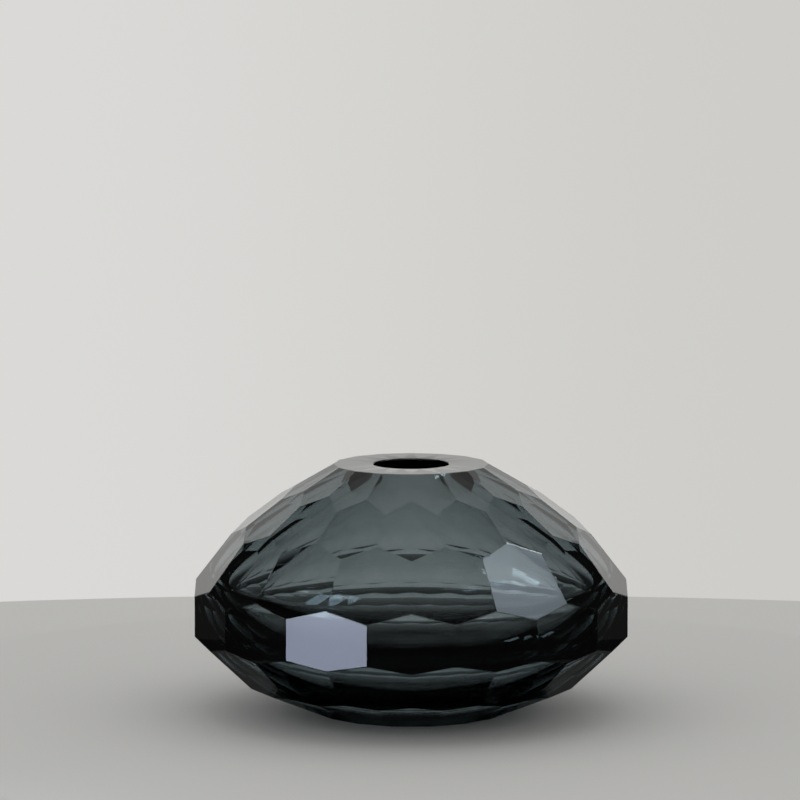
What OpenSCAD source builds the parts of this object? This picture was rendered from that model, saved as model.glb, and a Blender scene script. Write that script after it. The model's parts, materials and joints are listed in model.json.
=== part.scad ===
// Cut crystal vase: a squat, thick-walled vase cut all over with rows of flat
// facets that interlock as a honeycomb, with a flat polished rim round a small
// round mouth and a smooth blown cavity inside.
//
// Every second row is turned by half a facet. A row is one plane, repeated
// round the axis. It is given by its slope from the horizontal and by the
// radius of the one corner of its facets that lies on their centre line and
// on the plane of the row that was cut before it.
//
// Origin: on the axis, at the base. The middle of a belt facet faces -Y.

/* [Body] */
// Width across two opposite facets of the belt
belt_width = 240; // [230:1:250]
// Height from the base to the rim
body_height = 139; // [134:1:144]
// Facets in each row
facet_count = 16; // [14:2:18]
// Height of the belt facets' lower corners
belt_low = 45.5; // [43:0.5:48]
// Height of the belt facets' upper corners
belt_high = 68; // [65:0.5:71]

/* [Rows above the belt] */
// Slope of the first row up
upper_1_slope = 52.7; // [51:0.1:54]
// Slope of the second row up
upper_2_slope = 37.3; // [36:0.1:39]
// Radius of the second row's lowest corners
upper_2_radius = 100.3; // [98:0.1:102]
// Slope of the third row up, which the rim cuts off
upper_3_slope = 30.1; // [29:0.1:32]
// Radius of the third row's lowest corners
upper_3_radius = 73.6; // [72:0.1:76]

/* [Rows below the belt] */
// Slope of the first row down
lower_1_slope = 43.5; // [42:0.1:45]
// Slope of the second row down, which the base cuts off
lower_2_slope = 22.7; // [22:0.1:24]
// Radius of the second row's highest corners
lower_2_radius = 95.7; // [94:0.1:98]

/* [Cavity] */
// Diameter of the mouth
mouth_d = 42; // [36:1:48]
// Radius of the cavity at its widest
cavity_radius = 100; // [92:1:102]
// Height of the cavity's widest place
cavity_mid = 68; // [66:0.5:69]
// Rise of the cavity's roof above its widest place, up to the straight neck
cavity_rise = 60; // [56:0.5:60]
// Depth of the cavity's floor below its widest place
cavity_depth = 55; // [50:1:57]
// Thickness of the inner layer of glass
lining = 4; // [3:0.5:5]

/* [Hidden] */

half_turn = 180 / facet_count;
belt_apothem = belt_width / 2;
belt_radius = belt_apothem / cos(half_turn);

// Roof: nearly a cone, which flares into the neck. Floor: nearly an ellipse.
roof_power = 1.38;
neck_blend = 2.1;
floor_power = 1.8;
profile_steps = 24;
round_facets = 180;

// Side of the block of glass behind one facet's plane, wide enough to hold the
// whole vase
block = 700;

// Height on a row's plane at radius r on the centre line of the next row's
// facets, which is half a facet away from its own.
function beside(r, from_r, from_z, slope) =
    from_z - (r * cos(half_turn) - from_r) * tan(slope);

upper_2_low = beside(upper_2_radius, belt_radius, belt_high, upper_1_slope);
upper_3_low = beside(upper_3_radius, upper_2_radius, upper_2_low, upper_2_slope);
lower_2_high = beside(lower_2_radius, belt_radius, belt_low, -lower_1_slope);

// A superellipse's quarter: across and up are its half sizes.
function quarter(across, up, power) = [
    for (i = [0 : profile_steps])
        let (t = 90 * i / profile_steps)
        [across * pow(cos(t), 2 / power), up * pow(sin(t), 2 / power)]
];

// What a row above the belt leaves: the glass under every one of its planes.
// turned is 1 where the row's facets stand over the corners between two belt
// facets, and 0 where they stand over a belt facet.
module under_row(r, z, slope, turned) {
    intersection_for (i = [0 : facet_count - 1])
        rotate([0, 0, -90 + (2 * i + turned) * half_turn])
            translate([r, 0, z])
                rotate([0, slope, 0])
                    translate([-block / 2, -block / 2, -block])
                        cube([block, block, block]);
}

// What a row below the belt leaves: the glass over every one of its planes.
module over_row(r, z, slope, turned) {
    intersection_for (i = [0 : facet_count - 1])
        rotate([0, 0, -90 + (2 * i + turned) * half_turn])
            translate([r, 0, z])
                rotate([0, -slope, 0])
                    translate([-block / 2, -block / 2, 0])
                        cube([block, block, block]);
}

// The blank that the rows are cut from: a prism with the belt's flat sides.
module belt_prism() {
    linear_extrude(height = body_height)
        polygon([
            for (i = [0 : facet_count - 1])
                let (a = -90 + (2 * i + 1) * half_turn)
                belt_radius * [cos(a), sin(a)]
        ]);
}

// The roof's radius r, drawn out so that it ends at the neck's radius instead of
// on the axis and stays as it is at its widest.
function flared(r, neck, widest) =
    let (share = pow(r / widest, neck_blend))
    pow(share * pow(widest, neck_blend) + (1 - share) * pow(neck, neck_blend), 1 / neck_blend);

// The cavity, or with wall above 0 the outside of the lining around it.
module hollow(wall) {
    neck = mouth_d / 2 + wall;
    widest = cavity_radius + wall;
    roof = quarter(widest, cavity_rise + wall, roof_power);
    floor_curve = quarter(widest, cavity_depth + wall, floor_power);
    rotate_extrude($fn = round_facets)
        translate([0, cavity_mid])
            polygon(concat(
                [for (p = roof) [flared(max(p[0], 0), neck, widest), p[1]]],
                [[neck, body_height - cavity_mid], [0, body_height - cavity_mid]],
                [for (i = [profile_steps : -1 : 1]) [max(floor_curve[i][0], 0), -floor_curve[i][1]]]
            ));
}

module cut_body() {
    color([0.34, 0.38, 0.39, 0.5])
    difference() {
        intersection() {
            belt_prism();
            under_row(belt_radius, belt_high, upper_1_slope, 1);
            under_row(upper_2_radius, upper_2_low, upper_2_slope, 0);
            under_row(upper_3_radius, upper_3_low, upper_3_slope, 1);
            over_row(belt_radius, belt_low, lower_1_slope, 1);
            over_row(lower_2_radius, lower_2_high, lower_2_slope, 0);
        }
        hollow(lining);
    }
}

module inner_lining() {
    color([0.2, 0.23, 0.24, 0.6])
    difference() {
        hollow(lining);
        hollow(0);
    }
}

cut_body();
inner_lining();
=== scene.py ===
"""A cut crystal vase: the glass, its stage, its lights and the camera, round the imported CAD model."""

import json
import math

import bmesh
import bpy
import numpy as np
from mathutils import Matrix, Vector


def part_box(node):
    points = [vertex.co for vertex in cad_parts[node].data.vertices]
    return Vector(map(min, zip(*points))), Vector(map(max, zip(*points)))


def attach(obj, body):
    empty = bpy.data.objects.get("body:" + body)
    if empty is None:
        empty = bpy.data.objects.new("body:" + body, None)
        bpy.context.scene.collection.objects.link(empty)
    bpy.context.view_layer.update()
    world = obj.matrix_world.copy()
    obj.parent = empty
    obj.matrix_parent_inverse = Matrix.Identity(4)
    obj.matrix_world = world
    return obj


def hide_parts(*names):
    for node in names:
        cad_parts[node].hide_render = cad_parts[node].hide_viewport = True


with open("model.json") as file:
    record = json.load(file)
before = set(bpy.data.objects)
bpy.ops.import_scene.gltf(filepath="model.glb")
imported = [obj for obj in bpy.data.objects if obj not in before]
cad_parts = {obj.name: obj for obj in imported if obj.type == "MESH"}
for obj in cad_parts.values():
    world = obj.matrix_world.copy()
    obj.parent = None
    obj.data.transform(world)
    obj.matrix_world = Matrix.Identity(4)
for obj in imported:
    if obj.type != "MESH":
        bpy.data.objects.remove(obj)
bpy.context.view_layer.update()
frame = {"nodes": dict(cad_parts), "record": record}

MM = 0.001

# The cavity and the lining round it. These sizes are those of the design.
LINING = 4 * MM
CAVITY_MID = 68 * MM
CAVITY_RISE = 60 * MM
ROOF_POWER = 1.38
FLOOR_POWER = 1.8
NECK_BLEND = 2.1

# How much is polished off the edges of the facets and round the mouth, which
# the design leaves sharp
EDGE = 0.25 * MM
LIP = 0.7 * MM
# How far the visible lining stays from the cavity and from the rim
LINING_GAP = 0.1 * MM

# Corners round the axis, and steps along each part of the profile
TURNS = 256
ROOF_STEPS = 96
FLOOR_STEPS = 72
LIP_STEPS = 6
NECK_STEPS = 4

# How the block of glass is cut: points this close together are one, and edges
# between faces this near to level with each other go
CUT_REACH = 1e-6
LEVEL = math.radians(0.2)
# A plane belongs to a facet if no corner is further out than this and the face
# isn't tiny. Two planes are different if their normals differ by this much.
PLANE_REACH = 0.02 * MM
SMALLEST_FACE = 1 * MM**2
SAME_PLANE = math.radians(1)

# Lead-free crystal, tinted smoke grey. The densities are per metre of glass.
CRYSTAL_IOR = 1.52
CRYSTAL_TINT = (0.678, 0.72, 0.731)
CRYSTAL_DENSITY = 112
LINING_TINT = (0.678, 0.72, 0.728)
LINING_DENSITY = 30

# Unevenness of a hand polish: slow waves, and fine lines that run level
WAVE_HEIGHT = 0.02 * MM
WAVE_SCALE = 28
WAVE_STRETCH = (1, 1, 2)
LINE_HEIGHT = 0.002 * MM
LINE_SCALE = 60
LINE_STRETCH = (1, 1, 14)

lining_low, lining_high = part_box("inner_lining")
rim_height = lining_high.z
cavity_radius = lining_high.x - LINING
cavity_depth = CAVITY_MID - (lining_low.z + LINING)
mouth = next(m for m in frame["record"]["mounts"] if m["name"] == "mouth")
mouth_radius = mouth["dims"]["r_mm"] * MM


# ---------------------------------------------------------------- meshes


def add_object(name, bm):
    """A new object in the scene with bm as its mesh."""
    mesh = bpy.data.meshes.new(name)
    bm.to_mesh(mesh)
    bm.free()
    made = bpy.data.objects.new(name, mesh)
    bpy.context.scene.collection.objects.link(made)
    return made


def facet_planes(node):
    """Each plane that the whole CAD node lies behind, as its normal and distance from the origin."""
    mesh = frame["nodes"][node].data
    corners = np.array([v.co for v in mesh.vertices], float)
    planes = []
    for face in sorted(mesh.polygons, key=lambda f: -f.area):
        normal = face.normal.copy()
        distance = normal.dot(face.center)
        furthest = (corners @ np.array(normal)).max()
        if face.area < SMALLEST_FACE or furthest > distance + PLANE_REACH:
            continue
        if all(normal.angle(known) > SAME_PLANE for known, _ in planes):
            planes.append((normal, distance))
    return planes


def cut_block(planes):
    """The convex block behind all the planes, each of which leaves one facet."""
    bm = bmesh.new()
    bmesh.ops.create_cube(bm, size=1)
    for normal, distance in planes:
        everything = list(bm.verts) + list(bm.edges) + list(bm.faces)
        cut = bmesh.ops.bisect_plane(
            bm,
            geom=everything,
            dist=CUT_REACH,
            plane_co=normal * distance,
            plane_no=normal,
            clear_outer=True,
        )
        edges = [g for g in cut["geom_cut"] if isinstance(g, bmesh.types.BMEdge)]
        if edges:
            bmesh.ops.contextual_create(bm, geom=edges)
    bmesh.ops.dissolve_limit(bm, angle_limit=LEVEL, verts=bm.verts, edges=bm.edges)
    return bm


def quarter(across, up, power, steps):
    """A superellipse's quarter, from its tip on the axis to its widest place."""
    points = []
    for i in range(steps + 1):
        turn = math.pi / 2 * i / steps
        radius = across * math.sin(turn) ** (2 / power)
        points.append((radius, up * abs(math.cos(turn)) ** (2 / power)))
    return points


def cavity_profile(wall):
    """Radius and height from the mouth down to the middle of the floor, wall away from the cavity."""
    neck = mouth_radius + wall
    widest = cavity_radius + wall
    roof = quarter(widest, CAVITY_RISE + wall, ROOF_POWER, ROOF_STEPS)
    floor = quarter(widest, cavity_depth + wall, FLOOR_POWER, FLOOR_STEPS)
    points = []
    for radius, up in roof:
        share = (radius / widest) ** NECK_BLEND
        blended = share * widest**NECK_BLEND + (1 - share) * neck**NECK_BLEND
        points.append((blended ** (1 / NECK_BLEND), CAVITY_MID + up))
    for radius, down in reversed(floor[:-1]):
        points.append((radius, CAVITY_MID - down))
    return points


def lip_profile():
    """The small round of the mouth's edge and the neck below it."""
    points = []
    for i in range(LIP_STEPS + 1):
        turn = math.pi / 2 * i / LIP_STEPS
        radius = mouth_radius + LIP * (1 - math.sin(turn))
        points.append((radius, rim_height - LIP * (1 - math.cos(turn))))
    neck_low = cavity_profile(0)[0][1]
    for i in range(1, NECK_STEPS):
        share = i / NECK_STEPS
        height = (rim_height - LIP) * (1 - share) + neck_low * share
        points.append((mouth_radius, height))
    return points


def add_ring(bm, radius, height):
    """A circle of TURNS corners round the axis."""
    ring = []
    for i in range(TURNS):
        angle = 2 * math.pi * i / TURNS
        corner = (radius * math.cos(angle), radius * math.sin(angle), height)
        ring.append(bm.verts.new(corner))
    return ring


def add_lathe(bm, profile):
    """A smooth surface of revolution, closed at its end if that lies on the axis."""
    rings = [add_ring(bm, r, z) for r, z in profile if r > 0]
    for upper, lower in zip(rings, rings[1:]):
        for i in range(TURNS):
            j = (i + 1) % TURNS
            bm.faces.new((upper[i], upper[j], lower[j], lower[i]))
    if profile[-1][0] == 0:
        pole = bm.verts.new((0, 0, profile[-1][1]))
        for i in range(TURNS):
            bm.faces.new((rings[-1][i], rings[-1][(i + 1) % TURNS], pole))
    return rings


def ring_edges(bm, ring):
    """The edges between a ring's corners."""
    return [bm.edges.get((ring[i], ring[(i + 1) % TURNS])) for i in range(TURNS)]


def cut_crystal():
    """The whole wall of glass: the facets, the rim, and the cavity inside them."""
    bm = cut_block(facet_planes("cut_body"))
    edges = list(bm.edges)
    bmesh.ops.bevel(bm, geom=edges, offset=EDGE, segments=1, profile=0.5, affect="EDGES")
    for edge in bm.edges:
        edge.smooth = False
    rim = max(bm.faces, key=lambda f: f.calc_center_median().z)
    rim_edges = list(rim.edges)
    bmesh.ops.delete(bm, geom=[rim], context="FACES_ONLY")
    rings = add_lathe(bm, lip_profile() + cavity_profile(0))
    mouth_edges = ring_edges(bm, rings[0])
    border = rim_edges + mouth_edges
    filled = bmesh.ops.triangle_fill(bm, use_beauty=True, use_dissolve=False, edges=border)
    for part in filled["geom"]:
        part.smooth = False
    for face in bm.faces:
        face.smooth = True
    bmesh.ops.recalc_face_normals(bm, faces=bm.faces)
    return add_object("cut_crystal_body", bm)


def lining_glass():
    """The inner layer, inside the wall and just clear of its polished surfaces."""
    inside = cavity_profile(LINING_GAP)
    outside = cavity_profile(LINING)
    top = rim_height - LINING_GAP
    inside = [(inside[0][0], top)] + inside
    outside = [(outside[0][0], top)] + outside
    bm = bmesh.new()
    inner_rings = add_lathe(bm, inside)
    outer_rings = add_lathe(bm, outside)
    near, far = inner_rings[0], outer_rings[0]
    for i in range(TURNS):
        j = (i + 1) % TURNS
        bm.faces.new((near[i], near[j], far[j], far[i]))
    for face in bm.faces:
        face.smooth = True
    for edge in ring_edges(bm, near) + ring_edges(bm, far):
        edge.smooth = False
    bmesh.ops.recalc_face_normals(bm, faces=bm.faces)
    return add_object("inner_lining_glass", bm)


# ---------------------------------------------------------------- materials


def new_material(name):
    """A node material and its Principled shader."""
    material = bpy.data.materials.new(name)
    material.use_nodes = True
    return material, material.node_tree.nodes["Principled BSDF"]


def add_absorption(material, colour, density):
    """Tints the glass by how far light goes through it."""
    nodes = material.node_tree.nodes
    tint = nodes.new("ShaderNodeVolumeAbsorption")
    tint.inputs["Color"].default_value = (*colour, 1)
    tint.inputs["Density"].default_value = density
    volume = nodes["Material Output"].inputs["Volume"]
    material.node_tree.links.new(tint.outputs["Volume"], volume)


def add_noise(nodes, links, stretch, scale, detail):
    """Noise over the piece, squeezed along each axis by stretch."""
    place = nodes.new("ShaderNodeMapping")
    place.inputs["Scale"].default_value = stretch
    links.new(nodes.new("ShaderNodeTexCoord").outputs["Object"], place.inputs["Vector"])
    noise = nodes.new("ShaderNodeTexNoise")
    noise.inputs["Scale"].default_value = scale
    noise.inputs["Detail"].default_value = detail
    links.new(place.outputs["Vector"], noise.inputs["Vector"])
    return noise.outputs["Fac"]


def add_waviness(material, shader):
    """The unevenness of the surface, as bumps on the fine lines and then on the waves."""
    nodes, links = material.node_tree.nodes, material.node_tree.links
    lines = nodes.new("ShaderNodeBump")
    lines.inputs["Distance"].default_value = LINE_HEIGHT
    links.new(add_noise(nodes, links, LINE_STRETCH, LINE_SCALE, 2), lines.inputs["Height"])
    waves = nodes.new("ShaderNodeBump")
    waves.inputs["Distance"].default_value = WAVE_HEIGHT
    links.new(add_noise(nodes, links, WAVE_STRETCH, WAVE_SCALE, 1), waves.inputs["Height"])
    links.new(lines.outputs["Normal"], waves.inputs["Normal"])
    links.new(waves.outputs["Normal"], shader.inputs["Normal"])


def glass_material(name, ior, colour, density):
    """Clear polished glass, tinted all through."""
    material, shader = new_material(name)
    shader.inputs["Base Color"].default_value = (1, 1, 1, 1)
    shader.inputs["Transmission Weight"].default_value = 1
    shader.inputs["IOR"].default_value = ior
    shader.inputs["Roughness"].default_value = 0
    add_waviness(material, shader)
    add_absorption(material, colour, density)
    return material


def crystal_material():
    """Smoke-grey crystal with a hand polish."""
    return glass_material("smoke_crystal", CRYSTAL_IOR, CRYSTAL_TINT, CRYSTAL_DENSITY)


def lining_material():
    """Its index is 1 because the layers bend light alike, so nothing shines where they meet."""
    return glass_material("smoke_lining", 1, LINING_TINT, LINING_DENSITY)


def build_vase():
    """The two layers of glass, in place of the two CAD nodes."""
    body = cut_crystal()
    body.data.materials.append(crystal_material())
    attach(body, "root")
    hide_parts("cut_body")
    lining = lining_glass()
    lining.data.materials.append(lining_material())
    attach(lining, "root")
    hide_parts("inner_lining")


build_vase()


# ---------------------------------------------------------------- studio


def srgb(red, green, blue):
    """A linear colour from the screen values, 0 to 255, that it should show."""
    return tuple(((v / 255 + 0.055) / 1.055) ** 2.4 for v in (red, green, blue))


# The floor is a disc, whose back edge is this far behind the vase
FLOOR_RADIUS = 1.2
FLOOR_BACK = 0.4
FLOOR_COLOUR = srgb(196, 195, 192)
FLOOR_ROUGHNESS = 0.8
BELOW_BASE = 0.2 * MM
CARD_RADIUS = 0.34
CARD_COLOUR = (0.002, 0.002, 0.0025)
CARD_ROUGHNESS = 0.05
DISC_CORNERS = 128


def add_disc(name, radius, centre, material):
    """A level disc of that radius, centred there, in that material."""
    bm = bmesh.new()
    bmesh.ops.create_circle(bm, cap_ends=True, segments=DISC_CORNERS, radius=radius)
    disc = add_object(name, bm)
    disc.location = centre
    disc.data.materials.append(material)
    return disc


def build_floor():
    """A pale matt floor that the glass doesn't mirror or show through."""
    material, shader = new_material("pale_floor")
    shader.inputs["Base Color"].default_value = (*FLOOR_COLOUR, 1)
    shader.inputs["Roughness"].default_value = FLOOR_ROUGHNESS
    centre = (0, FLOOR_BACK - FLOOR_RADIUS, -BELOW_BASE)
    floor = add_disc("floor", FLOOR_RADIUS, centre, material)
    floor.visible_glossy = False
    floor.visible_transmission = False


def build_card():
    """A black glossy card under the vase, which gives the glass its dark parts."""
    material, shader = new_material("black_card")
    shader.inputs["Base Color"].default_value = (*CARD_COLOUR, 1)
    shader.inputs["Roughness"].default_value = CARD_ROUGHNESS
    card = add_disc("black_card", CARD_RADIUS, (0, 0, -BELOW_BASE / 2), material)
    card.visible_camera = False
    card.visible_diffuse = False
    card.visible_shadow = False


def add_panel(name, at, facing, width, height, radiance, colour):
    """A soft light for the glass, hidden from the camera and from diffuse light, not from gloss."""
    lamp = bpy.data.lights.new(name, "AREA")
    lamp.shape = "RECTANGLE"
    lamp.size = width
    lamp.size_y = height
    lamp.energy = radiance * width * height * math.pi
    lamp.color = colour
    panel = bpy.data.objects.new(name, lamp)
    bpy.context.scene.collection.objects.link(panel)
    panel.location = at
    panel.rotation_euler = (facing - at).to_track_quat("-Z", "Y").to_euler()
    panel.visible_camera = False
    panel.visible_diffuse = False


# The pale wall that the camera sees: its colours at the left and the right, and
# how far its rays turn to each side on the way to them
SEEN_LEFT = srgb(218, 217, 215)
SEEN_RIGHT = srgb(206, 205, 201)
SEEN_HALF = 0.07
# How bright the lit wall is, by the sine of the height that a ray looks to
WALL_FADE = ((0.0, 0.6), (0.35, 0.56), (0.7, 0.44), (1.0, 0.15))
WALL_TINT = (1, 0.99, 0.96)
# The glass mirrors the wall brighter than it bends it, by this much
MIRRORED = 1.2
# The lit wall reaches this far to each side of straight behind, and fades to
# this share of its brightness
WALL_REACH = math.radians(33.5)
WALL_SOFT = math.radians(10)
UNLIT = 0.045
# Further round, paler walls stand for those that the other views look through to
SIDE_FROM = math.radians(80)
SIDE_FULL = math.radians(100)
# The facets mirror only the lower part of those, up to this sine of the height,
# and softly from the floor up
LOW_WALL = 0.5
LOW_SOFT = 0.12
FLOOR_SOFT = 0.05
# The even light on the floor
SKY = (0.9, 0.9, 0.9)


def add_math(tree, operation, *sources):
    """A Math node with its sources linked in order."""
    made = tree.nodes.new("ShaderNodeMath")
    made.operation = operation
    for socket, source in zip(made.inputs, sources):
        tree.links.new(source, socket)
    return made.outputs[0]


def add_fade(tree, source, start, end, first, last):
    """first up to start and last beyond end, with a soft change between."""
    fade = tree.nodes.new("ShaderNodeMapRange")
    fade.interpolation_type = "SMOOTHSTEP"
    fade.inputs["From Min"].default_value = start
    fade.inputs["From Max"].default_value = end
    fade.inputs["To Min"].default_value = first
    fade.inputs["To Max"].default_value = last
    tree.links.new(source, fade.inputs["Value"])
    return fade.outputs["Result"]


def add_ramp(tree, source, stops):
    """A colour for each value of source, from stops of position and colour."""
    ramp = tree.nodes.new("ShaderNodeValToRGB")
    elements = ramp.color_ramp.elements
    while len(elements) < len(stops):
        elements.new(1)
    for element, (position, colour) in zip(elements, stops):
        element.position = position
        element.color = (*colour, 1)
    tree.links.new(source, ramp.inputs[0])
    return ramp.outputs["Color"]


def add_background(tree, colour=None, strength=None):
    """A light from all round, with the colour and strength that are linked to it."""
    background = tree.nodes.new("ShaderNodeBackground")
    if colour:
        tree.links.new(colour, background.inputs["Color"])
    if strength:
        tree.links.new(strength, background.inputs["Strength"])
    return background


def add_choice(tree, choice, otherwise, chosen):
    """chosen for the rays that choice picks, and otherwise for all others."""
    mix = tree.nodes.new("ShaderNodeMixShader")
    tree.links.new(choice, mix.inputs[0])
    tree.links.new(otherwise, mix.inputs[1])
    tree.links.new(chosen, mix.inputs[2])
    return mix.outputs[0]


def wall_stops(gain):
    """The lit wall's colours, gain times as bright."""
    return [(sine, [gain * level * c for c in WALL_TINT]) for sine, level in WALL_FADE]


def build_world():
    """A pale wall to look at, a lit wall for the glass, and soft even light for the floor."""
    world = bpy.data.worlds.new("studio")
    bpy.context.scene.world = world
    world.use_nodes = True
    tree = world.node_tree
    tree.nodes.clear()
    link = tree.links.new
    axes = tree.nodes.new("ShaderNodeSeparateXYZ")
    link(tree.nodes.new("ShaderNodeTexCoord").outputs["Generated"], axes.inputs[0])
    azimuth = add_math(tree, "ARCTAN2", axes.outputs["X"], axes.outputs["Y"])
    aside = add_math(tree, "ABSOLUTE", azimuth)
    side_to_side = add_fade(tree, axes.outputs["X"], -SEEN_HALF, SEEN_HALF, 0, 1)
    seen = add_ramp(tree, side_to_side, ((0, SEEN_LEFT), (1, SEEN_RIGHT)))
    lit = add_ramp(tree, axes.outputs["Z"], wall_stops(1))
    bright = add_ramp(tree, axes.outputs["Z"], wall_stops(MIRRORED))
    near, far = WALL_REACH - WALL_SOFT, WALL_REACH + WALL_SOFT
    behind = add_fade(tree, aside, near, far, 1, UNLIT)
    sides = add_fade(tree, aside, SIDE_FROM, SIDE_FULL, 0, 1)
    over_floor = add_fade(tree, axes.outputs["Z"], 0, FLOOR_SOFT, 0, 1)
    low = add_fade(tree, axes.outputs["Z"], LOW_WALL, LOW_WALL + LOW_SOFT, 1, 0)
    low_sides = add_math(tree, "MULTIPLY", sides, over_floor)
    low_sides = add_math(tree, "MULTIPLY", low_sides, low)
    seen_wall = add_background(tree, seen)
    mirrored_wall = add_background(tree, bright, add_math(tree, "MAXIMUM", behind, low_sides))
    bent_wall = add_background(tree, lit, add_math(tree, "MAXIMUM", behind, sides))
    soft_light = add_background(tree)
    soft_light.inputs["Color"].default_value = (*SKY, 1)
    rays = tree.nodes.new("ShaderNodeLightPath").outputs
    mirrored, soft = mirrored_wall.outputs[0], soft_light.outputs[0]
    light = add_choice(tree, rays["Is Diffuse Ray"], mirrored, soft)
    light = add_choice(tree, rays["Is Transmission Ray"], light, bent_wall.outputs[0])
    light = add_choice(tree, rays["Is Camera Ray"], light, seen_wall.outputs[0])
    link(light, tree.nodes.new("ShaderNodeOutputWorld").inputs["Surface"])


def belt_point(angle, height):
    """A point as far out as the belt, angle degrees from -Y towards +X."""
    turn = math.radians(angle)
    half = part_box("cut_body")[1].x
    return Vector((half * math.sin(turn), -half * math.cos(turn), height))


def towards(azimuth, elevation):
    """A direction, by its angles from -Y towards +X and above the horizon."""
    turn, rise = math.radians(azimuth), math.radians(elevation)
    level = math.cos(rise)
    return Vector((math.sin(turn) * level, -math.cos(turn) * level, math.sin(rise)))


# The panels: how far each is from the glass that it lights, its width and
# height, its radiance, and its colour
LOW_PANEL = (0.22, 0.1, 0.06, 7.4, (0.68, 0.76, 1))
HIGH_PANEL = (1.2, 0.16, 0.2, 3.0, (0.74, 0.88, 1))
LEFT_WINDOW = (1.3, 0.3, 1.0, 9, (0.72, 0.85, 1))
RIGHT_LAMP = (1.3, 0.2, 0.3, 9, (0.86, 0.95, 1))


def aim_panel(name, kind, direction, facing):
    """A panel of that kind, which lies in that direction from the point that it faces."""
    away, width, height, radiance, colour = kind
    add_panel(name, facing + away * direction, facing, width, height, radiance, colour)


def build_panels():
    """Cool soft panels: a facet mirrors each of the first two, and the cavity glints with the rest."""
    belt_facet = belt_point(-22.5, 57 * MM)
    aim_panel("low_panel", LOW_PANEL, towards(-45, -9.8), belt_facet)
    upper_facet = belt_point(33.75, 87 * MM) * 0.9
    aim_panel("high_panel", HIGH_PANEL, towards(90, 48), upper_facet)
    cavity = Vector((0, 0, 80 * MM))
    aim_panel("left_window", LEFT_WINDOW, towards(-58, 31), cavity)
    aim_panel("right_lamp", RIGHT_LAMP, towards(110, 48), cavity)


# The camera's place, how many degrees it looks down, and its lens in millimetres
CAMERA_AT = (-0.0062, -3.1254, 0.5767)
CAMERA_DOWN = 7.33
SENSOR_WIDTH = 36
FOCAL_LENGTH = 255.3


def build_camera():
    """The camera, which looks a little down at the vase from in front of it."""
    lens = bpy.data.cameras.new("camera")
    lens.sensor_width = SENSOR_WIDTH
    lens.lens = FOCAL_LENGTH
    camera = bpy.data.objects.new("camera", lens)
    bpy.context.scene.collection.objects.link(camera)
    camera.location = CAMERA_AT
    camera.rotation_euler = (math.radians(90 - CAMERA_DOWN), 0, 0)
    bpy.context.scene.camera = camera


BOUNCES = 32
GLOSSY_BOUNCES = 16


def set_up_render():
    """Colours as they are, and enough bounces for light to get through all the glass."""
    scene = bpy.context.scene
    scene.view_settings.view_transform = "Standard"
    scene.cycles.max_bounces = BOUNCES
    scene.cycles.transmission_bounces = BOUNCES
    scene.cycles.glossy_bounces = GLOSSY_BOUNCES
    scene.cycles.use_denoising = True


build_floor()
build_card()
build_world()
build_panels()
build_camera()
set_up_render()
